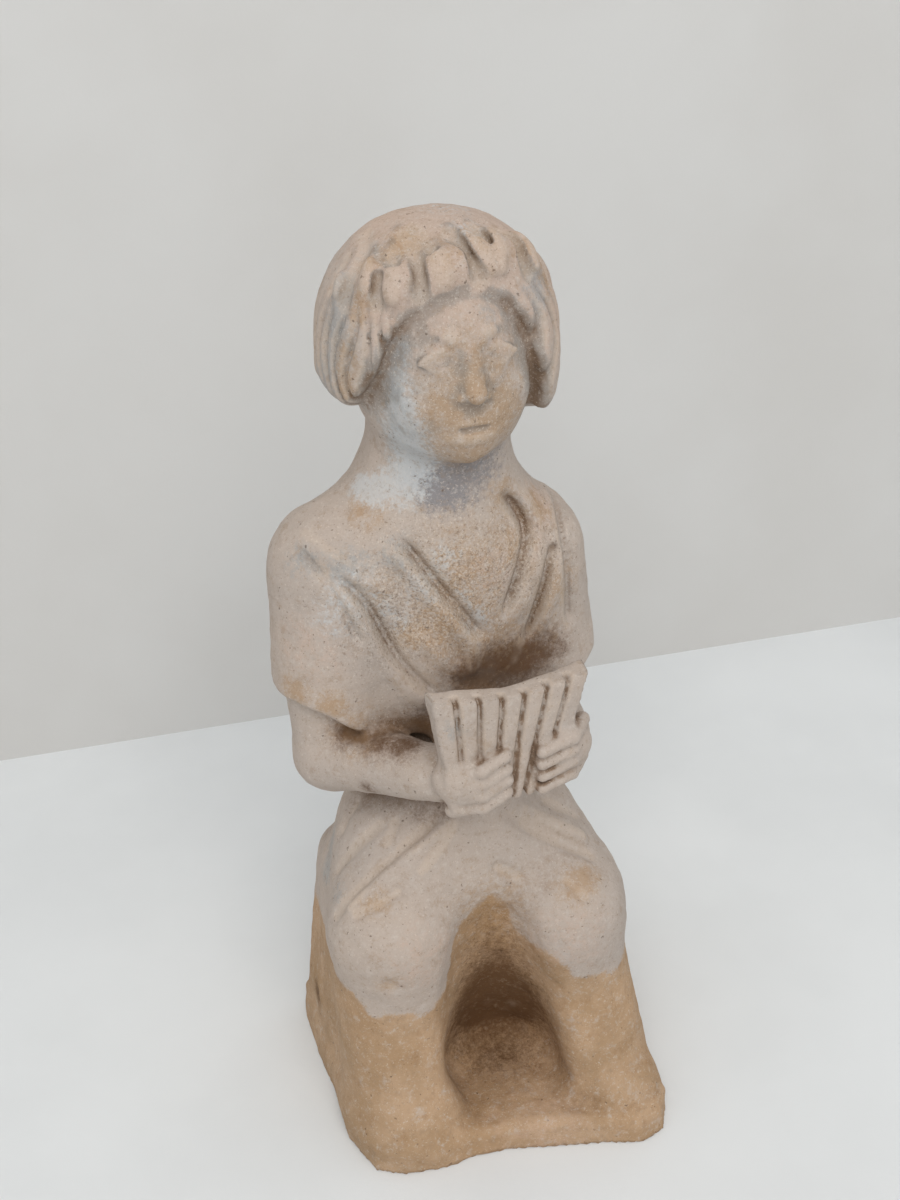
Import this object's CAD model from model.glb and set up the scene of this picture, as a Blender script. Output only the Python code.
import bpy
import numpy as np
from mathutils import Matrix, Vector


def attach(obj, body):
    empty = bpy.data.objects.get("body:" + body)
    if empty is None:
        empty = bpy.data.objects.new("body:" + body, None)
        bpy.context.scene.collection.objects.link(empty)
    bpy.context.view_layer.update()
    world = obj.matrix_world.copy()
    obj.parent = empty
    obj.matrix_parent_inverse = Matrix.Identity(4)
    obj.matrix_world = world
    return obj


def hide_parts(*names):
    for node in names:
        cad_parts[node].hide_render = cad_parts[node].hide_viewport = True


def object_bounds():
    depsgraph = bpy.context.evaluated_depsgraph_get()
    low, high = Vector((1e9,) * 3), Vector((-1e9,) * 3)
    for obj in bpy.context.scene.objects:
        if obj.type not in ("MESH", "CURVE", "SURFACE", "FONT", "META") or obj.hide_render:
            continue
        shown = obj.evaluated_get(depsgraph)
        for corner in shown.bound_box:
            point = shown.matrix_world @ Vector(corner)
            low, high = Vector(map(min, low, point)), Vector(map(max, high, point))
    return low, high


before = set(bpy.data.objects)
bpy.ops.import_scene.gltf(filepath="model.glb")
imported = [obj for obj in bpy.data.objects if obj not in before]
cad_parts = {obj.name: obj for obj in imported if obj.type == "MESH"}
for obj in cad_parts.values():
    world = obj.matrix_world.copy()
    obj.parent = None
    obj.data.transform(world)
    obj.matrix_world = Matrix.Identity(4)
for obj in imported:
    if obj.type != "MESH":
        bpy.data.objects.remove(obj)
CAD_LOW, CAD_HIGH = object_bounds()

# Lengths in the form code are millimetres, in a frame whose origin is on the
# underside, near the seat; MODEL_ORIGIN is that origin in the part's frame.
MODEL_ORIGIN = np.array([2.31, 10.76, 0.0])
MM = 0.001
# The form is sampled on a grid of this step, in blocks of so many cells a side.
CELL = 0.5
BLOCK = 8
GRID_LOW = np.array([-31.5, -43.0, -1.5])
GRID_HIGH = np.array([29.5, 20.0, 160.5])
MOST_TRIANGLES = 196000
SEED = 5


# Distances and joins of forms, in millimetres.
def ease(low, high, x):
    t = np.clip((x - low) / (high - low), 0, 1)
    return t * t * (3 - 2 * t)


def join(a, b, k):
    """Union of two forms with a fillet about k wide."""
    h = np.clip(0.5 + 0.5 * (b - a) / k, 0, 1)
    return b + (a - b) * h - k * h * (1 - h)


def both(a, b, k):
    """Where two forms overlap, with the edge rounded by k."""
    return -join(-a, -b, k)


def turned(x, y, degrees):
    a = np.radians(degrees)
    return x * np.cos(a) + y * np.sin(a), -x * np.sin(a) + y * np.cos(a)


def ellipsoid(p, centre, radii, turn=0):
    x, y, z = p[0] - centre[0], p[1] - centre[1], p[2] - centre[2]
    if turn:
        x, y = turned(x, y, turn)
    a, b, c = radii
    k0 = np.sqrt((x / a) ** 2 + (y / b) ** 2 + (z / c) ** 2)
    k1 = np.sqrt((x / a**2) ** 2 + (y / b**2) ** 2 + (z / c**2) ** 2) + 1e-9
    return k0 * (k0 - 1) / k1


def rounded_box(p, centre, half, r):
    qx = np.abs(p[0] - centre[0]) - half[0] + r
    qy = np.abs(p[1] - centre[1]) - half[1] + r
    qz = np.abs(p[2] - centre[2]) - half[2] + r
    outside = np.sqrt(
        np.maximum(qx, 0) ** 2 + np.maximum(qy, 0) ** 2 + np.maximum(qz, 0) ** 2
    )
    return outside + np.minimum(np.maximum(np.maximum(qx, qy), qz), 0) - r


def nearest(p, a, b):
    """Share of the way from a to b nearest each point, and the squared distance to it."""
    d = [b[i] - a[i] for i in range(3)]
    t = sum((p[i] - a[i]) * d[i] for i in range(3)) / sum(v * v for v in d)
    t = np.clip(t, 0, 1)
    return t, sum((p[i] - a[i] - t * d[i]) ** 2 for i in range(3))


def taper(p, a, b, ra, rb):
    t, q = nearest(p, a, b)
    return np.sqrt(q) - (ra + (rb - ra) * t)


def limb(p, points, radii, k=0.0):
    d = None
    for i in range(len(points) - 1):
        c = taper(p, points[i], points[i + 1], radii[i], radii[i + 1])
        if d is None:
            d = c
        else:
            d = join(d, c, k) if k else np.minimum(d, c)
    return d


def mark(p, points, width):
    """1 on a line through the points, falling to 0 beside it."""
    best = None
    for a, b in zip(points[:-1], points[1:]):
        q = nearest(p, a, b)[1]
        best = q if best is None else np.minimum(best, q)
    return np.exp(-best / (width * width))


def front_mark(x, z, points, width):
    """The same for a line drawn on the front view, in x and z."""
    best = None
    for (ax, az), (bx, bz) in zip(points[:-1], points[1:]):
        ux, uz = bx - ax, bz - az
        t = np.clip(((x - ax) * ux + (z - az) * uz) / (ux * ux + uz * uz), 0, 1)
        q = (x - ax - ux * t) ** 2 + (z - az - uz * t) ** 2
        best = q if best is None else np.minimum(best, q)
    return np.exp(-best / (width * width))


def curve(points, steps=4):
    """A smooth line through the points."""
    p = np.array(points, float)
    p = np.vstack([2 * p[0] - p[1], p, 2 * p[-1] - p[-2]])
    out = []
    for i in range(1, len(p) - 2):
        for t in np.arange(steps) / steps:
            out.append(
                0.5
                * (
                    2 * p[i]
                    + (p[i + 1] - p[i - 1]) * t
                    + (2 * p[i - 1] - 5 * p[i] + 4 * p[i + 1] - p[i + 2]) * t * t
                    + (3 * p[i] - p[i - 1] - 3 * p[i + 1] + p[i + 2]) * t**3
                )
            )
    out.append(p[-2])
    return [tuple(q) for q in out]


LATTICE = np.random.default_rng(SEED).uniform(-1, 1, 65536).astype(np.float32)


def noise(p, size, seed=0):
    """Smooth noise from -1 to 1 whose features are about `size` wide."""
    cell = [np.floor(p[i] / size) for i in range(3)]
    part = [p[i] / size - cell[i] for i in range(3)]
    part = [t * t * (3 - 2 * t) for t in part]
    whole = [c.astype(np.int64) for c in cell]
    total = 0.0
    for corner in range(8):
        step = [(corner >> i) & 1 for i in range(3)]
        key = (whole[0] + step[0]) * 73856093
        key ^= (whole[1] + step[1]) * 19349663
        key ^= (whole[2] + step[2]) * 83492791
        value = LATTICE[(key + seed * 7919) & 65535]
        for i in range(3):
            value = value * (part[i] if step[i] else 1 - part[i])
        total = total + value
    return total


# The figurine, part by part. The outline of the plinth, as x and y:
PLINTH = [
    (-28, 14.5), (-29.4, -22), (-26.8, -30.2), (-22.5, -33), (-17, -34), (-10, -33.6),
    (-4, -34.4), (4, -36.6), (13, -38.8), (19, -40.8), (23.8, -39.4), (26.6, -35), (25.8, 15.5),
]
PLINTH_EDGE = 1.8
PLINTH_HEIGHT = 5.4


def outline_distance(x, y, outline):
    best = None
    inside = np.zeros(x.shape, bool)
    for (ax, ay), (bx, by) in zip(outline, outline[1:] + outline[:1]):
        ex, ey = bx - ax, by - ay
        t = np.clip(((x - ax) * ex + (y - ay) * ey) / (ex * ex + ey * ey), 0, 1)
        q = (x - ax - t * ex) ** 2 + (y - ay - t * ey) ** 2
        best = q if best is None else np.minimum(best, q)
        inside ^= ((ay > y) != (by > y)) & (x < (bx - ax) * (y - ay) / (by - ay + 1e-9) + ax)
    return np.where(inside, -1, 1) * np.sqrt(best)


def plinth(p):
    d = outline_distance(p[0], p[1], PLINTH) + PLINTH_EDGE + 0.10 * np.clip(p[2], 0, 6)
    top = PLINTH_HEIGHT + 0.5 * np.sin(p[0] * 0.23 + 1.0)
    z = np.abs(p[2] - top + 6) - 6 + PLINTH_EDGE
    return (
        np.sqrt(np.maximum(d, 0) ** 2 + np.maximum(z, 0) ** 2)
        + np.minimum(np.maximum(d, z), 0)
        - PLINTH_EDGE
    )


def seat(p):
    d = rounded_box(p, (-1.0, 3.0, 20), (30, 12.0, 25), 6.0)
    side = np.abs(p[0] + 1.0) - (29.4 - 0.155 * p[2])
    return both(d, side, 8.0)


KNEE_L = (-18.0, -17.5, 42.8)
KNEE_R = (12.4, -19.8, 40.2)


def legs(p):
    d = limb(p, [(-9.5, 3, 47.5), KNEE_L], [11.5, 9.6])
    d = join(d, limb(p, [(5.0, 3, 46.5), KNEE_R], [11.5, 9.2]), 5)
    d = join(d, limb(p, [KNEE_L, (-18.2, -16.5, 25), (-18.4, -19.5, 8.0)], [9.4, 9.9, 10.4]), 6)
    d = join(d, limb(p, [KNEE_R, (14.4, -19.5, 25), (16.6, -24.0, 8.0)], [9.2, 9.8, 9.8]), 6)
    d = join(d, rounded_box(p, (-1.0, -8.0, 24), (24.5, 14.0, 25), 8.0), 5)
    d = join(d, ellipsoid(p, (-2.0, -7.5, 53), (19.5, 14.6, 12.5)), 9)
    recess = limb(p, [(-3.2, -30, 51.0), (-2.8, -26.5, 40), (-0.6, -23.0, 9)], [0.6, 4.6, 10.6])
    d = both(d, -recess, 6.0)
    d = join(d, ellipsoid(p, (-18.6, -25.0, 7.0), (8.2, 7.5, 5.8)), 4)
    return join(d, ellipsoid(p, (18.4, -29.4, 7.6), (7.2, 8.0, 5.2)), 1.6)


def torso(p):
    d = ellipsoid(p, (-2.0, 1.5, 88), (22.0, 14.0, 32))
    shoulders = limb(p, [(-18.0, 1.5, 103.5), (-2, 1.5, 109.5), (11.3, 1.5, 101.0)], [10.5, 10.0, 10.0])
    d = join(d, shoulders, 7)
    return join(d, ellipsoid(p, (-0.4, 0.5, 58), (21.0, 13.5, 18)), 6)


def sleeves(p):
    left = limb(p, [(-19.6, 0.5, 103), (-21.2, -1.0, 84), (-21.2, -2.5, 76)], [9.9, 9.9, 9.0])
    right = limb(p, [(13.8, 0.5, 100.6), (15.6, -1.0, 82), (15.6, -2.5, 76)], [9.4, 9.2, 8.6])
    return left, right


def above_hem(p):
    x = p[0]
    left = 84.6 - 0.60 * np.clip(x + 29, 0, 14) - 0.12 * np.clip(x + 15, 0, 12) + 0.5 * np.sin(x * 0.7)
    right = 81.5 - 0.35 * np.clip(24 - x, 0, 16)
    return p[2] - np.where(x < -2, left, right)


def arms(p):
    left = limb(p, [(-21.6, -0.5, 86), (-22.6, -3.0, 70.6), (-8.5, -23.0, 75.0)], [7.6, 6.4, 4.1], 1.5)
    right = limb(p, [(15.0, -0.5, 86), (15.4, -3.5, 71.5), (11.4, -21.5, 77.6)], [6.6, 5.8, 4.3], 1.5)
    return left, right


# A cut fold has a narrow groove along its bottom: its share of the fold's width and depth.
SHARP_WIDTH = 0.45
SHARP_DEPTH = 0.5
# Rise (+) or cut (-), half width, and the line in the front view.
FOLDS = [
    (1.0, 1.3, [(-13.0, 111), (-7, 101.3), (-1.1, 92.1), (-0.7, 86)]),
    (-1.0, 1.3, [(-10.2, 111), (-4.6, 101.9), (1.3, 92.6)]),
    (0.9, 1.4, [(-22.8, 106.5), (-18.8, 100.1), (-14.5, 90), (-8.6, 81.2)]),
    (-0.8, 1.3, [(-20.2, 106.5), (-16.2, 100.1), (-12, 90.4), (-6.6, 83)]),
    (0.7, 1.3, [(-23.4, 112), (-18.6, 107.0), (-14.1, 103.1)]),
    (-0.7, 1.2, [(-25.0, 110), (-21.6, 104), (-18.4, 95)]),
    (0.7, 1.2, [(-9.7, 95.3), (-5.6, 90), (-2.5, 85.9)]),
    (-1.0, 1.3, [(6.8, 115.4), (10.2, 109), (8.4, 102.2), (5.5, 95)]),
    (0.8, 1.3, [(9.4, 115.4), (12.4, 108.7), (10.8, 101), (7.8, 94)]),
    (-1.0, 1.2, [(14.6, 104.5), (13, 98.4), (9.6, 89)]),
    (0.6, 1.2, [(16.4, 103), (15.0, 98), (12.4, 90.5)]),
    (-0.8, 1.1, [(17.8, 110), (17.2, 104), (17.6, 97), (17.6, 89.6)]),
]
FOLD_LINES = [(rise, width, curve(line)) for rise, width, line in FOLDS]

# The folds over the lap, whose lines are points on the cloth.
LAP_FOLDS = [
    (
        -1.2, 1.2,
        [
            (-9.4, -16.8, 62.6), (-13.1, -17.1, 59.7), (-18.8, -17.7, 56.2), (-24.1, -18, 52.3),
            (-27.5, -17.3, 48.4),
        ],
    ),
    (0.8, 1.2, [(-7.6, -18.1, 62.2), (-15.1, -18.2, 57.8), (-20.5, -18.9, 54.5), (-25.2, -19.5, 51)]),
    (-1.0, 1.1, [(-17.8, -12, 60), (-22, -11.4, 56.2), (-25, -9.7, 51.2)]),
    (-0.8, 1.0, [(-19.7, -4.1, 59.4), (-22.6, -5.2, 55.4)]),
    (-0.8, 1.0, [(-15.5, -13.3, 61), (-17.5, -15.3, 58.6)]),
    (0.8, 1.0, [(-6.4, -18.6, 63.4), (-7.1, -19, 60.9), (-13.3, -20.9, 55.6)]),
    (
        -1.2, 1.2,
        [
            (2.4, -19.4, 62.9), (5.4, -19.3, 59.4), (10.1, -19.8, 55.5), (14.5, -20.3, 52.2),
            (16.9, -20.7, 50.5),
        ],
    ),
    (0.8, 1.2, [(5.9, -18, 61.7), (10.7, -18.2, 57.1), (16.3, -18.1, 52.4)]),
    (-0.9, 1.1, [(10.7, -15.4, 60), (14, -15.2, 57.3), (17.6, -13.8, 53.8)]),
]
LAP_LINES = [(rise, width, curve(line)) for rise, width, line in LAP_FOLDS]


def robe_relief(p):
    total = 0
    for rise, width, line in FOLD_LINES:
        low, high = min(z for x, z in line), max(z for x, z in line)
        fade = ease(low - 1.5, low + 2.5, p[2]) * (1 - ease(high - 2.5, high + 1.5, p[2]))
        total = total + rise * fade * front_mark(p[0], p[2], line, width)
        if rise < 0:
            sharp = front_mark(p[0], p[2], line, SHARP_WIDTH * width)
            total = total + SHARP_DEPTH * rise * fade * sharp
    total = total * ease(2.0, -4.0, p[1])
    for rise, width, line in LAP_LINES:
        total = total + rise * mark(p, line, width)
    return total


HEAD = (0.0, 1.8, 137.0)
HEAD_RADII = (18.9, 17.4, 21.4)
HEAD_POWER = 2.2
LOCK_CENTRE_HEIGHT = 136.0


def on_hair(degrees, z, inset=0.0):
    """A point on the hair at that angle round from the front, that far under the surface."""
    a = np.radians(degrees)
    share = (1 - abs((z - HEAD[2]) / HEAD_RADII[2]) ** HEAD_POWER) ** (1 / HEAD_POWER)
    q = np.array(
        [HEAD[0] + HEAD_RADII[0] * share * np.sin(a), HEAD[1] - HEAD_RADII[1] * share * np.cos(a), z]
    )
    inward = np.array([HEAD[0], HEAD[1], LOCK_CENTRE_HEIGHT]) - q
    return q + inward / np.linalg.norm(inward) * inset


def hair_cap(p):
    x, y, z = (np.abs(p[i] - HEAD[i]) / HEAD_RADII[i] for i in range(3))
    k = (x**HEAD_POWER + y**HEAD_POWER + z**HEAD_POWER) ** (1 / HEAD_POWER)
    reach = np.sqrt(sum((p[i] - HEAD[i]) ** 2 for i in range(3)))
    d = (k - 1) * np.minimum(reach / np.maximum(k, 1e-3), max(HEAD_RADII))
    return both(d, 129.6 - 0.15 * p[0] - p[2], 3.0)


# The roll of hair over the brow: angle round from the front, height, and how far its
# line lies under the cap.
FRINGE = [
    (-92, 147, 4.0), (-72, 149.6, 3.0), (-52, 151.6, 1.9), (-37, 152, 1.7), (-14, 153.4, 1.5),
    (8, 154.4, 1.6), (26, 154.2, 1.6), (48, 152.8, 1.9), (70, 150, 3.2), (90, 147, 4.0),
]
FRINGE_RADIUS = 3.6
# Grooves and slots that part the roll into locks, as angles and heights.
LOCK_GROOVE_WIDTH = 0.85
LOCK_GROOVE_DEPTH = 2.1
LOCK_GROOVES = [
    [(-47, 156.8), (-34, 155.6), (-27, 153.9), (-24, 151.9), (-24, 149.6)],
    [(-2, 156.7), (4, 155.2), (6, 153.6), (8, 152), (9, 150.4)],
    [(50, 155.4), (47, 153.6), (42, 152.4), (41, 150)],
    [(-96, 155.7), (-76, 154.9), (-70, 153.2), (-67, 151), (-66, 147.6)],
    [(-45, 157.4), (-27, 156.4), (-20, 155.2), (-15, 154)],
    [(27, 156.7), (24, 155.7), (24, 154.6)],
    [(-47, 155), (-42, 153.3)],
    [(-48, 151.6), (-46, 148.6)],
    [(-86, 153), (-84, 149)],
    [(68, 154), (66, 151), (66, 147.4)],
]
# Crests of the locks, as angles and heights.
LOCK_CREST_WIDTH = 1.25
LOCK_CREST_RISE = 0.9
LOCK_CRESTS = [
    [(-60, 157.2), (-30, 156.3), (-18, 155.0), (-13, 153.0), (-12, 151.2)],
    [(30, 157.3), (32, 156.0), (29, 154.3), (22, 151.8)],
    [(60, 154.6), (54, 152.4), (48, 150.3)],
    [(-52, 155.8), (-46, 154.4), (-39, 151.6), (-38, 149.4)],
    [(-66, 154.9), (-58, 152.9), (-53, 150.4)],
    [(-84, 153.6), (-79, 151.6), (-72, 148.8)],
    [(2, 157.4), (10, 155.8), (15, 153.8), (17, 151.8)],
]


def fringe(p):
    return limb(p, [on_hair(*place) for place in FRINGE], [FRINGE_RADIUS] * len(FRINGE))


def lock_marks(p, lines, height, width):
    """1 along the lines, which run at that height over the hair cap."""
    share = 0
    for line in lines:
        share = np.maximum(share, mark(p, [on_hair(a, z, -height) for a, z in line], width))
    return share


STRANDS = 32
STRAND_DEPTH = 0.9


def strand_grooves(p):
    u = np.arctan2(p[0] + 4.0, -(p[1] + 2.0))
    fall = HEAD[2] + HEAD_RADII[2] - p[2]
    wave = 0.06 * np.sin(fall * 0.33 + 2 * np.sin(3 * u))
    c = 0.5 + 0.5 * np.cos((u + wave) * STRANDS)
    return c**2.5 * ease(7.0, 15.0, fall)


def opening(p):
    brow = ellipsoid(p, (-1.2, -19.0, 134.5), (15.0, 16.0, 17.6))
    return join(brow, ellipsoid(p, (-2.6, -15.0, 129.0), (17.5, 14.0, 13.0)), 2.0)


FACE_X = -0.4
EYE_X = 4.6
EYE_HEIGHT = 141.2
SIDES = (-1, 1)


def arc(x, half, y, depth, z, height, steps=7):
    """A bowed line across the face: `depth` back and `height` up at its middle."""
    share = np.linspace(-1, 1, steps)
    return [(x + half * t, y + depth * t * t, z + height * (1 - t * t)) for t in share]


def face(p):
    d = ellipsoid(p, (FACE_X, -3.8, 139.0), (11.4, 12.4, 15.0))
    d = join(d, ellipsoid(p, (FACE_X, -1.5, 136.0), (14.2, 11.6, 16.0)), 3.0)
    d = join(d, ellipsoid(p, (FACE_X, -8.2, 130.5), (7.8, 6.8, 6.4)), 5.0)
    d = join(d, ellipsoid(p, (FACE_X, -12.2, 126.6), (3.0, 2.6, 2.2)), 2.5)
    for s in SIDES:
        eye = FACE_X + s * EYE_X
        d = join(d, ellipsoid(p, (FACE_X + s * 5.8, -10.6, 134.2), (3.8, 3.2, 3.6)), 3.0)
        d = both(d, -ellipsoid(p, (FACE_X + s * 4.7, -17.2, 141.6), (3.4, 2.3, 2.1)), 1.6)
        d = join(d, ellipsoid(p, (eye, -13.05, EYE_HEIGHT), (2.5, 2.1, 1.4)), 0.3)
        d = d - 0.60 * mark(p, arc(eye, 2.9, -14.7, 0.77, EYE_HEIGHT, 1.55), 0.55)
        d = d - 0.42 * mark(p, arc(eye, 2.8, -14.7, 0.77, EYE_HEIGHT, -1.25), 0.50)
        d = d - 0.60 * mark(p, arc(FACE_X + s * 4.9, 3.5, -15.2, 1.3, 144.2, 0.9), 0.9)
    bridge = [(FACE_X, -14.2, 143.0), (FACE_X, -16.2, 138.4), (FACE_X, -16.8, 136.7)]
    d = join(d, limb(p, bridge, [1.0, 1.3, 1.65], 0.5), 1.2)
    for s in SIDES:
        d = join(d, ellipsoid(p, (FACE_X + s * 1.75, -15.5, 136.0), (1.1, 1.4, 1.0)), 0.6)
    d = d - 0.85 * mark(p, arc(FACE_X, 3.5, -15.45, 1.6, 131.5, 0.4, 9), 0.85)
    d = d - 1.00 * mark(p, arc(FACE_X, 2.9, -15.45, 1.3, 129.4, -0.4, 9), 1.0)
    return d + 0.55 * mark(p, arc(FACE_X, 3.9, -16.0, 1.8, 130.5, 0.3, 9), 0.42)


def head(p):
    d = hair_cap(p) + STRAND_DEPTH * strand_grooves(p)
    d = both(d, -opening(p), 2.0)
    d = join(d, fringe(p), 1.6)
    d = d + LOCK_GROOVE_DEPTH * lock_marks(p, LOCK_GROOVES, 0.9, LOCK_GROOVE_WIDTH)
    d = d - LOCK_CREST_RISE * lock_marks(p, LOCK_CRESTS, 1.6, LOCK_CREST_WIDTH)
    return join(d, face(p), 0.9)


PIPE_X, PIPE_TOP, PIPE_FOOT = 0.4, 93.0, 72.5
PIPE_HALF = 13.0
PIPE_COUNT = 7
PIPE_FRONT = -26.0
PIPE_BOW = 1.6
PIPE_THICKNESS = 3.8
PIPE_GROOVE_WIDTH = 0.45
PIPE_GROOVE_DEPTH = 1.1
# Where the pipes' edges would meet, below the flute and to the player's right.
FAN_X, FAN_Z = -5.5, 39.0


def flute(p):
    spread = np.maximum((p[2] - FAN_Z) / (PIPE_TOP - FAN_Z), 0.1)
    half = spread * PIPE_HALF
    across = p[0] - FAN_X - (PIPE_X - FAN_X) * spread
    bow = 1 - ((p[0] - PIPE_X) / PIPE_HALF) ** 2
    middle = PIPE_FRONT - PIPE_BOW * bow
    d = np.maximum(np.abs(p[1] - middle) - PIPE_THICKNESS / 2, (np.abs(across) - half) * 0.95)
    d = both(d, np.maximum(p[2] - PIPE_TOP + 0.9 * bow, PIPE_FOOT - p[2]), 0.6)
    f = (across / half + 1) / 2 * PIPE_COUNT
    n = np.round(f)
    gap = np.abs(f - n) * half * 2 / PIPE_COUNT
    grooved = (n > 0) & (n < PIPE_COUNT) & (p[1] < middle)
    groove = np.where(grooved, np.exp(-((gap / PIPE_GROOVE_WIDTH) ** 2)), 0)
    return d + groove * PIPE_GROOVE_DEPTH


FINGERS = 4
FINGER_PITCH = 2.3


def hands(p):
    left = ellipsoid(p, (-6.6, -27.4, 77.0), (6.0, 3.3, 4.7), -18)
    right = ellipsoid(p, (9.6, -26.4, 78.4), (5.2, 3.6, 4.7), 20)
    for i in range(FINGERS):
        z = 81.0 - FINGER_PITCH * i
        finger = [(-9.6, -27.2, z - 2.4), (-5.6, -30.0, z - 0.9), (-1.6, -29.9, z + 0.9)]
        left = join(left, limb(p, finger, [1.2, 1.25, 1.1], 0.3), 0.35)
        z = 82.4 - FINGER_PITCH * i
        finger = [(13.0, -25.6, z), (9.8, -29.1, z - 0.3), (4.6, -29.9, z - 1.3)]
        right = join(right, limb(p, finger, [1.3, 1.3, 1.1], 0.3), 0.35)
    return np.minimum(left, right)


# Chips and scars: depth, width and points of the surface.
SCARS = [
    (0.9, 0.8, [(-24.9, -21.4, 50.6), (-21.3, -22.3, 52.3), (-17.8, -22.0, 53.6)]),
    (1.0, 1.1, [(-0.3, -22.4, 53.7), (2.5, -22.9, 51.2)]),
    (0.9, 1.2, [(10.8, -24.9, 49.9), (13.2, -27.4, 47.7)]),
    (0.8, 0.8, [(14.9, -8.6, 104.0), (15.4, -8.7, 103.5)]),
    (0.8, 1.3, [(-21.7, -27.5, 39.3), (-21.2, -27.5, 38.3)]),
]


def scars(p):
    return sum(depth * mark(p, line, width) for depth, width, line in SCARS)


def rough_relief(p):
    """Low lumps of a hand-finished, worn surface."""
    return 0.22 * noise(p, 7.0, 1) + 0.12 * noise(p, 2.6, 2) + 0.06 * noise(p, 1.2, 3)


def figure(p):
    d = join(plinth(p), seat(p), 2.5)
    d = join(d, legs(p), 5.0)
    left, right = sleeves(p)
    bare = torso(p)
    robe = join(join(bare, left, 3.0), right, 3.0)
    d = join(d, bare + 2.6, 4.0)
    d = join(d, both(robe, -above_hem(p), 1.2), 0.8)
    d = join(d, limb(p, [(-1.0, 2.5, 108), (0.0, 1.5, 132)], [12.5, 11.0]), 6.0)
    d = d - robe_relief(p)
    for arm in arms(p):
        d = join(d, arm, 1.5)
    d = join(d, limb(p, [(0.4, -20.5, 77.0), (-1.0, -7.0, 62.0)], [4.8, 10.0]), 7.0)
    d = join(d, head(p), 1.5)
    d = join(d, flute(p), 0.5)
    return join(d, hands(p), 1.0)


def surface(p):
    """The figure with its fine relief, cut flat underneath."""
    return np.maximum(figure(p) + rough_relief(p) + scars(p), -p[2])


# From the form to a mesh: how many points are worked out at a time.
CHUNK = 150000


def values_at(f, points):
    out = np.empty(len(points), np.float32)
    for i in range(0, len(points), CHUNK):
        part = points[i : i + CHUNK].astype(np.float32)
        out[i : i + CHUNK] = f((part[:, 0], part[:, 1], part[:, 2]))
    return out


def sampled_field(f):
    """The field on a grid, worked out only in the blocks that the surface can cross."""
    blocks = np.ceil((GRID_HIGH - GRID_LOW) / (CELL * BLOCK)).astype(int)
    index = np.stack(np.meshgrid(*[np.arange(n) for n in blocks], indexing="ij"), -1).reshape(-1, 3)
    centres = GRID_LOW + (index + 0.5) * BLOCK * CELL
    rough = values_at(f, centres)
    reach = BLOCK * CELL * 0.5 * np.sqrt(3) * 1.25 + 1.2
    field = np.repeat(
        np.repeat(np.repeat(rough.reshape(blocks), BLOCK, 0), BLOCK, 1), BLOCK, 2
    )
    field = np.pad(field, ((0, 1), (0, 1), (0, 1)), mode="edge")
    wanted = np.zeros(field.shape, bool)
    for i, j, k in index[np.abs(rough) < reach] * BLOCK:
        wanted[i : i + BLOCK + 1, j : j + BLOCK + 1, k : k + BLOCK + 1] = True
    at = np.argwhere(wanted)
    field[wanted] = values_at(f, GRID_LOW + at * CELL)
    return field


def untangled(field):
    """Fills grid points until no cell face has its inside corners on one diagonal only.

    The surface is then closed and simple.
    """
    inside = field < 0
    for _ in range(6):
        changed = 0
        for a, b in ((0, 1), (0, 2), (1, 2)):
            def at(i, j):
                window = [slice(None)] * 3
                window[a] = slice(i, inside.shape[a] - 1 + i)
                window[b] = slice(j, inside.shape[b] - 1 + j)
                return tuple(window)

            c00, c11 = inside[at(0, 0)], inside[at(1, 1)]
            c10, c01 = inside[at(1, 0)], inside[at(0, 1)]
            first = c00 & c11 & ~c10 & ~c01
            second = c10 & c01 & ~c00 & ~c11
            changed += int(first.sum() + second.sum())
            inside[at(1, 0)] |= first
            inside[at(0, 0)] |= second
        if not changed:
            break
    return np.where(inside & (field >= 0), -0.02, field).astype(np.float32)


def net_surface(field):
    """One vertex in each cell that the surface crosses, and a quad for each crossed grid edge."""
    inside = field < 0
    shape = np.array(field.shape) - 1
    corners = [(i, j, k) for i in (0, 1) for j in (0, 1) for k in (0, 1)]

    def part(c, source):
        return source[c[0] : c[0] + shape[0], c[1] : c[1] + shape[1], c[2] : c[2] + shape[2]]

    count = sum(part(c, inside).astype(np.int8) for c in corners)
    cells = np.argwhere((count > 0) & (count < 8))
    number = np.full(tuple(shape), -1, np.int64)
    number[tuple(cells.T)] = np.arange(len(cells))
    total = np.zeros((len(cells), 3))
    hits = np.zeros(len(cells))
    for a in corners:
        for axis in range(3):
            if a[axis]:
                continue
            b = tuple(a[i] + (i == axis) for i in range(3))
            va = field[tuple((cells + a).T)]
            vb = field[tuple((cells + b).T)]
            cut = (va < 0) != (vb < 0)
            t = np.where(cut, va / np.where(cut, va - vb, 1), 0)
            at = np.array(a, float)[None, :].repeat(len(cells), 0)
            at[:, axis] = t
            total += at * cut[:, None]
            hits += cut
    points = GRID_LOW + (cells + total / hits[:, None]) * CELL
    quads = []
    for axis in range(3):
        u, v = (axis + 1) % 3, (axis + 2) % 3
        low = [slice(1, -1)] * 3
        low[axis] = slice(0, -1)
        high = list(low)
        high[axis] = slice(1, None)
        edge = np.argwhere(inside[tuple(low)] != inside[tuple(high)])
        start = np.ones(3, int)
        start[axis] = 0
        edge = edge + start
        step_u, step_v = np.eye(3, dtype=int)[u], np.eye(3, dtype=int)[v]
        ring = [edge - step_u - step_v, edge - step_v, edge, edge - step_u]
        ring = np.stack([number[tuple(r.T)] for r in ring], 1)
        solid_first = inside[tuple(edge.T)]
        ring = np.where(solid_first[:, None], ring, ring[:, ::-1])
        quads.append(ring)
    return points, np.concatenate(quads)


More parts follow.
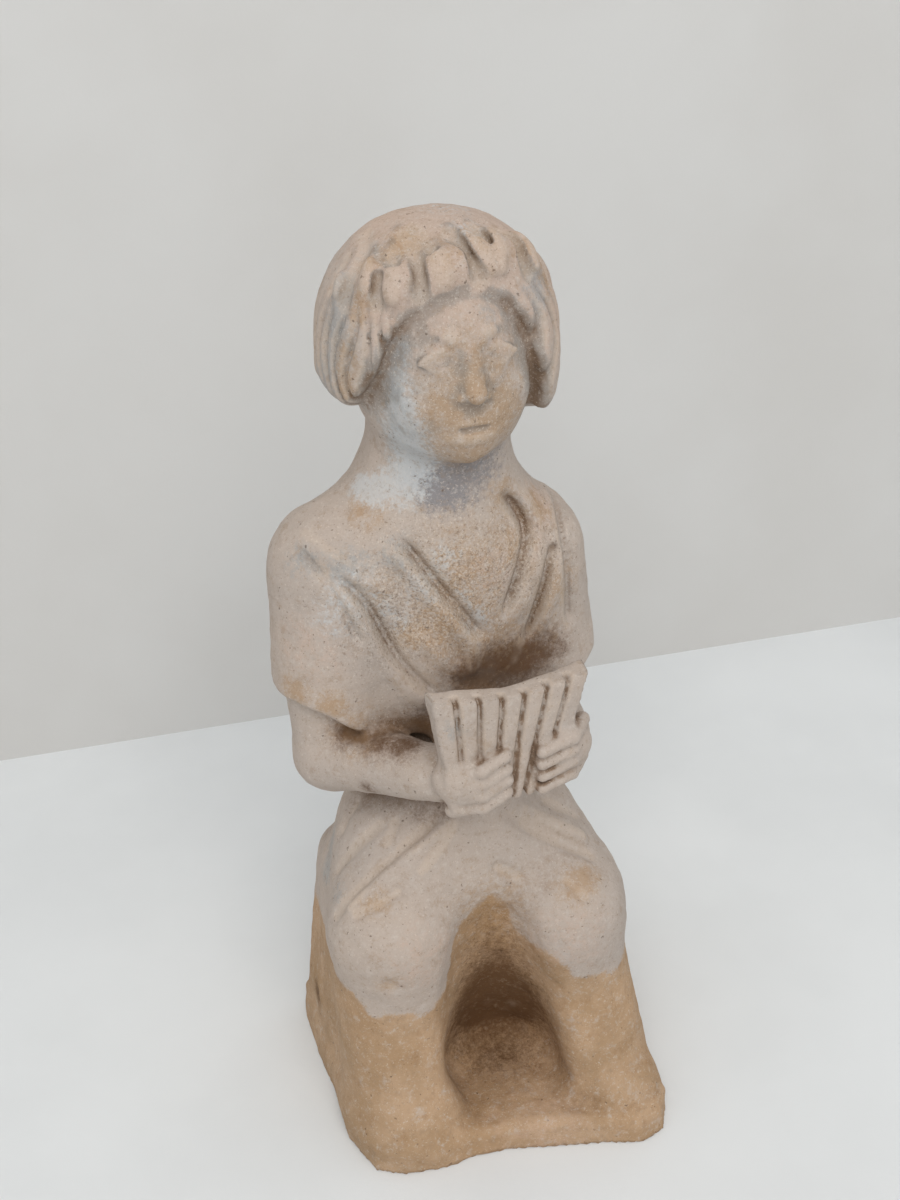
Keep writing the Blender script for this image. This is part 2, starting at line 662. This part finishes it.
def largest_shell(points, quads):
    label = np.arange(len(points))
    for _ in range(400):
        low = label[quads].min(1)
        new = label.copy()
        np.minimum.at(new, quads.ravel(), low.repeat(4))
        new = new[new]
        if (new == label).all():
            break
        label = new
    kept = label == np.bincount(label).argmax()
    number = np.cumsum(kept) - 1
    return points[kept], number[quads[kept[quads[:, 0]]]]


def gradient(f, points, h=0.15):
    g = np.empty_like(points)
    for axis in range(3):
        step = np.zeros(3)
        step[axis] = h
        g[:, axis] = values_at(f, points + step) - values_at(f, points - step)
    return g / (2 * h)


def settled(f, points, quads):
    """Evens the net out along the surface, then brings it back onto the surface."""
    pairs = np.concatenate([quads[:, [i, (i + 1) % 4]] for i in range(4)])
    pairs = np.concatenate([pairs, pairs[:, ::-1]])
    degree = np.bincount(pairs[:, 0], minlength=len(points))
    for _ in range(2):
        mean = np.stack(
            [np.bincount(pairs[:, 0], points[pairs[:, 1], i], len(points)) for i in range(3)], 1
        )
        points = points + 0.5 * (mean / degree[:, None] - points)
    for _ in range(2):
        g = gradient(f, points)
        size = np.maximum((g * g).sum(1), 0.3)
        shift = g * (values_at(f, points) / size)[:, None]
        length = np.linalg.norm(shift, axis=1, keepdims=True)
        points = points - shift * np.minimum(1, 0.3 / np.maximum(length, 1e-9))
    return points


def built_mesh():
    points, quads = largest_shell(*net_surface(untangled(sampled_field(surface))))
    points = settled(surface, points, quads)
    points[points[:, 2] < 0.08, 2] = 0.0
    placed = (points + MODEL_ORIGIN) * MM
    low, high = np.array(CAD_LOW), np.array(CAD_HIGH)
    placed = np.clip(placed, low, high)
    mesh = bpy.data.meshes.new("figurine_surface")
    mesh.from_pydata(placed.tolist(), [], quads.tolist())
    return mesh


figurine = bpy.data.objects.new("clay_figurine", built_mesh())
bpy.context.scene.collection.objects.link(figurine)
triangles = 2 * len(figurine.data.polygons)
thinner = figurine.modifiers.new("thinner", "DECIMATE")
thinner.ratio = min(1.0, MOST_TRIANGLES / triangles)
thinner.use_collapse_triangulate = True
evaluated = figurine.evaluated_get(bpy.context.evaluated_depsgraph_get())
final = bpy.data.meshes.new_from_object(evaluated)
figurine.modifiers.clear()
figurine.data = final
final.shade_smooth()
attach(figurine, "root")
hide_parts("figurine")


# Stains and wear. Height of the pale slip's lower edge across the front, as x and z.
SLIP_EDGE = [
    (-27, 34), (-24.4, 28.9), (-20, 29.7), (-14.6, 28.6), (-11, 32.2), (-8.7, 42.4), (-5, 46.5),
    (-2, 48), (0.9, 44.6), (3.1, 38.2), (6.6, 36.3), (10.7, 32.1), (15.5, 30.2), (19.7, 29.1), (26, 31),
]
# Each stain is a row of places: centre, reach and strength.
STAINS = {
    "soil": [
        ((-2, -15, 44), 6, 0.5), ((0, -13, 34), 8, 0.9), ((1, -14, 22), 8.5, 1.1),
        ((0.5, -16, 11), 8.5, 0.8), ((-1.5, -13.5, 86), 4, 1), ((4.3, -12, 86), 4.5, 1.1),
        ((10, -10.5, 86), 4.5, 1.1), ((15, -10, 87), 3.0, 0.4), ((1.5, -16.5, 16.5), 7.2, 1.05),
        ((-8.7, -11.3, 78.5), 3.5, 0.9), ((-21.7, -9, 77.6), 2.6, 0.8), ((-17, -13, 77.3), 3, 1),
        ((-13.3, -17, 77.5), 2.8, 1), ((-17, -3.5, 57), 3, 0.7), ((-13, -8.8, 59.6), 3, 1),
        ((-9, -13, 61), 3, 1), ((-6.5, -16, 63.8), 2.4, 0.8), ((-19.6, -14.8, 70.1), 1.7, 0.7),
        ((2.6, -18.8, 48.9), 1.5, 0.8), ((-27.6, 2.5, 12.5), 2.6, 0.9), ((14.9, -8.2, 104), 0.9, 1),
    ],
    "ochre": [
        ((0, -13, 131), 8, 0.75), ((0, -14, 141), 6, 0.5), ((-1, -17, 47), 4, 0.9),
        ((-1, -15, 41), 8, 0.6), ((-28.8, -7, 86.6), 2.4, 1), ((-24.1, -10.4, 84.7), 2.2, 1),
        ((-10.6, -11.5, 94.9), 2.2, 1), ((2.6, -18.8, 48.9), 2.8, 1), ((12.3, -25.9, 49), 3.0, 1),
        ((16, -25, 50.5), 2.4, 0.7), ((-21.2, -21.2, 51.5), 2.6, 0.8), ((-21.7, -27.5, 39.3), 2.2, 0.6),
        ((-27.4, 2.5, 15), 4.5, 1.2), ((-28, 0, 30), 3.5, 0.6), ((-6, -4.1, 157), 2.4, 0.9),
        ((-11.4, -4.5, 153.4), 2, 0.9), ((-13.4, -7, 149.8), 1.8, 1), ((-15.2, -7.4, 147.5), 1.6, 0.9),
        ((-16, -6.4, 141.2), 2.2, 0.9), ((-17, -6.1, 136.5), 2.4, 0.9), ((13.3, -5.8, 111), 3, 0.9),
        ((6.3, -7.7, 115.4), 3, 0.8), ((-14, -4, 114.5), 3, 0.9), ((-8.5, -24, 80), 2.4, 0.7),
        ((-4.5, -13.5, 134), 3.4, 0.8), ((3.5, -14.5, 133), 3.4, 0.8), ((-0.6, -17, 138), 2.4, 0.9),
        ((-0.6, -12.5, 126), 3.2, 0.8), ((4, -8, 156), 3, 0.8), ((10, -7, 153.5), 3, 0.8),
        ((-2, -9, 154), 3, 0.8), ((-8, -6, 156), 3, 0.7), ((15, -6, 149), 3, 0.7),
        ((-2, -11.5, 108), 5, 0.5), ((8, -10, 108), 4, 0.6), ((15, -9, 98), 4, 0.6),
        ((-6, -12.5, 96), 4, 0.5), ((-15, -10, 104), 3, 0.5), ((0, -12, 88), 7, 0.5),
        ((9, -11, 90), 7, 0.5), ((-20, -11, 79), 5, 0.5), ((-2, -18, 45), 8, 0.5),
        ((2, -21, 15), 14, 0.4),
    ],
    "blue": [
        ((-15.4, -3.5, 150), 3, 0.8), ((-16.7, -4, 144.3), 3.5, 0.9), ((-18.3, -3.1, 138), 3.5, 0.9),
        ((-18.7, 1.5, 133), 4.5, 0.9), ((-10.8, -2.8, 155), 2.5, 0.6), ((-8.4, -6.7, 153.7), 2, 0.6),
        ((-22.2, -1.2, 50), 3.5, 0.8), ((-25, -3.7, 46), 3.5, 0.8), ((-25, -14, 48.7), 3, 0.6),
        ((-25.8, -5.2, 108.7), 3, 0.6), ((-19.8, -9.5, 108), 3.5, 0.7), ((-11.5, -11.1, 108.8), 4, 0.7),
        ((-10, -10.6, 142.5), 2.6, 0.8), ((-10.5, -11, 135), 3, 0.9), ((-9.4, -9.9, 128), 4, 1),
        ((-7.7, -7.3, 122.5), 4, 1), ((5, -15, 148.5), 3.5, 0.8), ((12, -10, 147), 3, 0.7),
        ((-9, -27.5, 88), 2, 0.8), ((-6, -24, 74), 2, 0.7), ((12, -8, 150), 3, 0.6),
    ],
    "violet": [
        ((-4.1, -9.7, 118.7), 3.6, 1.2), ((0, -9.5, 121), 5.0, 0.6), ((4, -8, 122), 4, 0.4),
    ],
    "powder": [
        ((-10, -10.6, 142.5), 2.0, 0.7), ((-10.7, -10.7, 138), 2.4, 0.9),
        ((-10.5, -11.8, 133.8), 2.6, 1), ((-10, -10.5, 129), 3.6, 1.1), ((-8.5, -9, 124), 4, 1.1),
        ((-9, -7, 119.5), 3.5, 0.9), ((-12.9, -4.2, 117.8), 2.2, 1.6), ((-14.5, -1.5, 117.7), 1.8, 1.3),
        ((-4, -11, 108), 3, 0.5), ((0.5, -12.3, 96), 2.2, 0.8), ((-1.5, -12.5, 100), 2, 0.7),
        ((-7, -12, 104), 3, 0.7), ((-22, -9, 100), 4, 0.4), ((-18, -9, 104), 4, 0.5),
        ((-13, -11, 98), 4, 0.35), ((2, 3, 158), 5, 0.3), ((2.5, -6.5, 156), 3, 0.5),
        ((-11, -12, 131), 2.5, 0.9),
    ],
    "rose": [
        ((0, -6, 154), 13, 1), ((-8, -8, 150), 7, 0.8), ((12, -4, 152), 9, 0.9), ((0, 4, 156), 14, 0.7),
        ((14, -6, 140), 6, 0.5), ((17, 0, 146), 9, 0.6), ((14, -4, 111), 4, 0.6),
        ((12, -6, 108), 5, 0.6), ((4, -10, 104), 6, 0.5), ((-25, -8, 95), 7, 0.5),
        ((-16, -26, 42), 8, 0.5), ((10, -28, 40), 8, 0.5), ((2, -36, 4), 10, 0.5),
    ],
}
# Where the slip has worn off the chest.
BARE_CHEST = ((-2, -12, 100), 11, 0.55)
# Where the sandy clay shows most: chest, sleeves and face.
BARE = [
    ((-3, -12, 102), 13, 1.0), ((-15, -9, 98), 9, 0.6), ((12, -8, 104), 8, 0.7),
    ((0, -14, 134), 10, 0.5), ((0, -4, 154), 14, 0.4),
]


def blobs(p, places):
    total = 0
    for centre, reach, strength in places:
        q = sum((p[i] - centre[i]) ** 2 for i in range(3))
        total = total + strength * np.exp(-q / (reach * reach))
    return total


def slip(p):
    """Share of the surface still under the pale slip."""
    edge = np.interp(p[0], [x for x, z in SLIP_EDGE], [z for x, z in SLIP_EDGE])
    wander = 2.0 * noise(p, 5.0, 11) + 0.9 * noise(p, 1.8, 12)
    cover = ease(-1.6, 1.6, p[2] - edge + wander)
    return cover * (1 - blobs(p, [BARE_CHEST]))


def occlusion(points, normals, reach):
    """How shut in each point is: 0 on open, flat or rounded ground, towards 1 deep in a hollow."""
    return np.clip(1 - values_at(surface, points + normals * reach) / reach, -1, 1)


def add_mask(mesh, name, values):
    layer = mesh.attributes.new(name, "FLOAT", "POINT")
    layer.data.foreach_set("value", np.asarray(values, np.float32))


def paint_masks(mesh):
    n = len(mesh.vertices)
    co = np.empty(n * 3, np.float32)
    mesh.vertices.foreach_get("co", co)
    points = co.reshape(-1, 3).astype(float) / MM - MODEL_ORIGIN
    normals = np.empty(n * 3, np.float32)
    mesh.vertices.foreach_get("normal", normals)
    normals = normals.reshape(-1, 3).astype(float)
    near, wide = occlusion(points, normals, 0.7), occlusion(points, normals, 3.5)
    p = tuple(points.T.astype(np.float32))
    add_mask(mesh, "hollow", np.clip(0.55 * np.maximum(near, 0) + 0.6 * np.maximum(wide, 0), 0, 1))
    add_mask(mesh, "crest", np.clip(-near * 4, 0, 1))
    add_mask(mesh, "slip", slip(p))
    hair_front = ease(118, 136, p[2]) * ease(4, -8, p[1])
    robe = ease(60, 100, p[2]) * ease(120, 112, p[2])
    add_mask(mesh, "grey", hair_front * 0.8 + 0.35 * robe)
    add_mask(mesh, "bare", np.clip(blobs(p, BARE), 0, 1))
    for name, places in STAINS.items():
        add_mask(mesh, name, np.clip(blobs(p, places), 0, 1.5))


paint_masks(final)


# Materials.
class Shader:
    """Makes nodes of one material, with lengths in millimetres."""

    def __init__(self, name):
        self.material = bpy.data.materials.new(name)
        self.material.use_nodes = True
        self.nodes = self.material.node_tree.nodes
        self.links = self.material.node_tree.links
        self.out = self.nodes["Principled BSDF"]
        place = self.nodes.new("ShaderNodeTexCoord").outputs["Object"]
        scale = self.nodes.new("ShaderNodeVectorMath")
        scale.operation = "SCALE"
        scale.inputs["Scale"].default_value = 1 / MM
        self.links.new(place, scale.inputs[0])
        self.place = scale.outputs["Vector"]

    def put(self, value, socket):
        if hasattr(value, "links"):
            self.links.new(value, socket)
        else:
            socket.default_value = value

    def noise(self, size, detail=4, roughness=0.6, shift=0.0):
        node = self.nodes.new("ShaderNodeTexNoise")
        node.inputs["Scale"].default_value = 1 / size
        node.inputs["Detail"].default_value = detail
        node.inputs["Roughness"].default_value = roughness
        moved = self.nodes.new("ShaderNodeMapping")
        moved.inputs["Location"].default_value = (shift, shift * 0.7, -shift)
        self.links.new(self.place, moved.inputs["Vector"])
        self.links.new(moved.outputs["Vector"], node.inputs["Vector"])
        return node.outputs["Fac"]

    def mask(self, name):
        node = self.nodes.new("ShaderNodeAttribute")
        node.attribute_name = name
        return node.outputs["Fac"]

    def math(self, operation, a, b=0.0, c=0.0):
        node = self.nodes.new("ShaderNodeMath")
        node.operation = operation
        for value, socket in zip((a, b, c), node.inputs):
            self.put(value, socket)
        return node.outputs[0]

    def step(self, value, low, high, to=1.0):
        """Smoothly 0 below low and `to` above high; falling where low is above high."""
        node = self.nodes.new("ShaderNodeMapRange")
        node.interpolation_type = "SMOOTHSTEP"
        start, end = (0.0, to) if low < high else (to, 0.0)
        node.inputs["From Min"].default_value = min(low, high)
        node.inputs["From Max"].default_value = max(low, high)
        node.inputs["To Min"].default_value = start
        node.inputs["To Max"].default_value = end
        self.links.new(value, node.inputs["Value"])
        return node.outputs[0]

    def mix(self, factor, a, b, blend="MIX"):
        node = self.nodes.new("ShaderNodeMix")
        node.data_type = "RGBA"
        node.blend_type = blend
        for value, number in ((factor, 0), (a, 6), (b, 7)):
            self.put(value, node.inputs[number])
        return node.outputs[2]

    def bump(self, height, strength, distance, normal=None):
        node = self.nodes.new("ShaderNodeBump")
        node.inputs["Strength"].default_value = strength
        node.inputs["Distance"].default_value = distance
        self.links.new(height, node.inputs["Height"])
        if normal is not None:
            self.links.new(normal, node.inputs["Normal"])
        return node.outputs["Normal"]


def rgb(r, g, b):
    """A colour given as it looks on screen, 0 to 255, as linear light."""
    return tuple(((v / 255 + 0.055) / 1.055) ** 2.4 for v in (r, g, b)) + (1.0,)


# Mask, colour, size of the noise that breaks its edge, how far that noise moves it,
# softness, strength.
LAYERS = [
    ("slip", rgb(193, 184, 178), 1.6, 0.7, 0.34, 0.80),
    ("rose", rgb(205, 176, 158), 2.2, 0.9, 0.40, 0.45),
    ("blue", rgb(160, 165, 168), 1.3, 1.1, 0.40, 0.62),
    ("violet", rgb(128, 130, 137), 1.5, 1.0, 0.50, 0.80),
    ("ochre", rgb(172, 138, 98), 1.6, 1.3, 0.60, 0.62),
    ("soil", rgb(92, 61, 33), 2.0, 0.7, 0.62, 0.90),
    ("powder", rgb(203, 207, 210), 0.9, 1.7, 0.45, 0.72),
]
# How far the finest noise moves the edge of a layer.
SPECKLE = 0.9


def fired_clay():
    s = Shader("fired_clay")
    colour = s.mix(s.step(s.noise(9, 5), 0.36, 0.64), rgb(176, 146, 114), rgb(193, 163, 133))
    colour = s.mix(s.step(s.noise(3.2, 5, 0.65, 20), 0.52, 0.74, 0.55), colour, rgb(154, 119, 84))
    for i, (name, tint, size, moved, soft, strength) in enumerate(LAYERS):
        ragged = s.math("MULTIPLY_ADD", s.noise(size, 6, 0.7, 31 + 17 * i), 2 * moved, -moved)
        fine = s.math("MULTIPLY_ADD", s.noise(0.55, 5, 0.85, 211 + 13 * i), 2 * SPECKLE, -SPECKLE)
        broken = s.math("ADD", ragged, fine)
        amount = s.math("MULTIPLY_ADD", broken, s.step(s.mask(name), 0.0, 0.3), s.mask(name))
        colour = s.mix(s.step(amount, 0.5 - soft, 0.5 + soft, strength), colour, tint)
    hollow = s.mask("hollow")
    deep = s.step(s.math("MULTIPLY_ADD", s.noise(2.2, 4, 0.7, 47), 0.35, hollow), 0.22, 0.42, 0.70)
    colour = s.mix(s.math("MULTIPLY", deep, s.mask("grey")), colour, rgb(138, 136, 132))
    dust = s.math("MULTIPLY_ADD", s.noise(0.9, 5, 0.7, 5), 0.5, hollow)
    colour = s.mix(s.step(dust, 0.42, 0.95, 0.75), colour, rgb(118, 88, 58))
    colour = s.mix(s.step(s.mask("crest"), 0.2, 1.0, 0.30), colour, rgb(212, 194, 176))
    grain = s.noise(0.34, 3, 0.75, 3)
    bare = s.math("MULTIPLY", s.mask("bare"), 0.09)
    clean = s.step(s.mask("soil"), 0.6, 0.1)
    bright = s.math("MULTIPLY", s.step(s.math("ADD", grain, bare), 0.58, 0.72, 0.55), clean)
    colour = s.mix(bright, colour, rgb(228, 217, 204))
    grime = s.noise(0.5, 4, 0.8, 73)
    colour = s.mix(s.step(s.math("SUBTRACT", grime, bare), 0.41, 0.28, 0.60), colour, rgb(108, 88, 70))
    veil = s.noise(1.1, 5, 0.8, 57)
    colour = s.mix(s.math("MULTIPLY", s.step(veil, 0.54, 0.66, 0.40), clean), colour, rgb(208, 200, 192))
    colour = s.mix(s.step(veil, 0.45, 0.33, 0.40), colour, rgb(160, 138, 116))
    specks = s.noise(0.8, 2, 0.5, 61)
    colour = s.mix(s.step(specks, 0.31, 0.25, 0.6), colour, rgb(84, 66, 50))
    patch = s.noise(2.6, 5, 0.7, 140)
    colour = s.mix(s.step(patch, 0.55, 0.70, 0.35), colour, rgb(158, 134, 110))
    pale = s.math("MULTIPLY", s.step(patch, 0.44, 0.30, 0.35), clean)
    colour = s.mix(pale, colour, rgb(202, 194, 188))
    tone = s.step(s.noise(18, 3, 0.5, 90), 0.3, 0.7)
    colour = s.mix(0.22, colour, s.mix(tone, rgb(176, 172, 170), rgb(214, 196, 176)), "MULTIPLY")
    s.links.new(colour, s.out.inputs["Base Color"])
    s.put(s.math("MULTIPLY_ADD", s.noise(0.7, 3), 0.16, 0.80), s.out.inputs["Roughness"])
    s.out.inputs["Specular IOR Level"].default_value = 0.25
    coarse = s.bump(s.noise(1.5, 6, 0.62, 7), 0.55, 0.00035)
    s.links.new(s.bump(s.noise(0.28, 3, 0.7, 9), 0.5, 0.00012, coarse), s.out.inputs["Normal"])
    return s.material


def plain_surface(name, low, high, size, roughness):
    s = Shader(name)
    cloudy = s.mix(s.step(s.noise(size, 4, 0.55), 0.3, 0.7), low, high)
    s.links.new(cloudy, s.out.inputs["Base Color"])
    s.put(s.math("MULTIPLY_ADD", s.noise(size * 0.2, 3), 0.1, roughness), s.out.inputs["Roughness"])
    s.links.new(s.bump(s.noise(1.2, 4, 0.6), 0.12, 0.0002), s.out.inputs["Normal"])
    return s.material


final.materials.clear()
final.materials.append(fired_clay())


# The table, the backdrop, the light and the camera.
def plane(name, corners, material):
    mesh = bpy.data.meshes.new(name)
    mesh.from_pydata(corners, [], [(0, 1, 2, 3)])
    mesh.materials.append(material)
    o = bpy.data.objects.new(name, mesh)
    bpy.context.scene.collection.objects.link(o)


paper = plain_surface("paper", rgb(222, 224, 225), rgb(228, 230, 231), 60, 0.8)
wall_paint = plain_surface("backdrop_paper", rgb(205, 203, 200), rgb(211, 210, 208), 90, 0.85)
# Two points of the line where the backdrop meets the table, and how far it goes on past them.
WALL_LEFT = Vector((-0.07534, 0.13126, 0))
WALL_RIGHT = Vector((0.16326, 0.10946, 0))
WALL_REACH = 1.5
WALL_HEIGHT = 2
TABLE_HALF = 2
along = (WALL_RIGHT - WALL_LEFT).normalized()
left, right = WALL_LEFT - along * WALL_REACH, WALL_RIGHT + along * WALL_REACH
up = Vector((0, 0, WALL_HEIGHT))
table = [(x * TABLE_HALF, y * TABLE_HALF, 0) for x, y in ((-1, -1), (1, -1), (1, 1), (-1, 1))]
plane("table", table, paper)
plane("backdrop", [tuple(left), tuple(right), tuple(right + up), tuple(left + up)], wall_paint)

CAMERA_AT = Vector((-0.06871, -0.20798, 0.226))
LOOK = Vector((0.2676, 0.8236, -0.5)).normalized()
RIGHT = Vector((0.9451, -0.3254, -0.0302)).normalized()
UP = RIGHT.cross(LOOK).normalized()
camera_data = bpy.data.cameras.new("camera")
camera_data.lens = 48
camera_data.sensor_width = 36
camera_data.clip_start = 0.01
camera = bpy.data.objects.new("camera", camera_data)
turn = Matrix((RIGHT, UP, -LOOK)).transposed().to_4x4()
camera.matrix_world = Matrix.Translation(CAMERA_AT) @ turn
bpy.context.scene.collection.objects.link(camera)
bpy.context.scene.camera = camera

world = bpy.data.worlds.new("room")
world.use_nodes = True
background = world.node_tree.nodes["Background"]
background.inputs["Color"].default_value = (0.95, 0.98, 1.0, 1)
background.inputs["Strength"].default_value = 0.74
bpy.context.scene.world = world


def lamp(name, at, target, size, power, colour):
    data = bpy.data.lights.new(name, "AREA")
    data.shape = "DISK"
    data.size = size
    data.energy = power
    data.color = colour
    o = bpy.data.objects.new(name, data)
    o.location = at
    o.rotation_mode = "QUATERNION"
    o.rotation_quaternion = (Vector(target) - Vector(at)).to_track_quat("-Z", "Y")
    bpy.context.scene.collection.objects.link(o)


lamp("soft_key", (-0.12, -0.60, 0.80), (0, 0, 0.08), 0.7, 4.2, (1.0, 0.97, 0.93))
bpy.context.scene.view_settings.view_transform = "Standard"
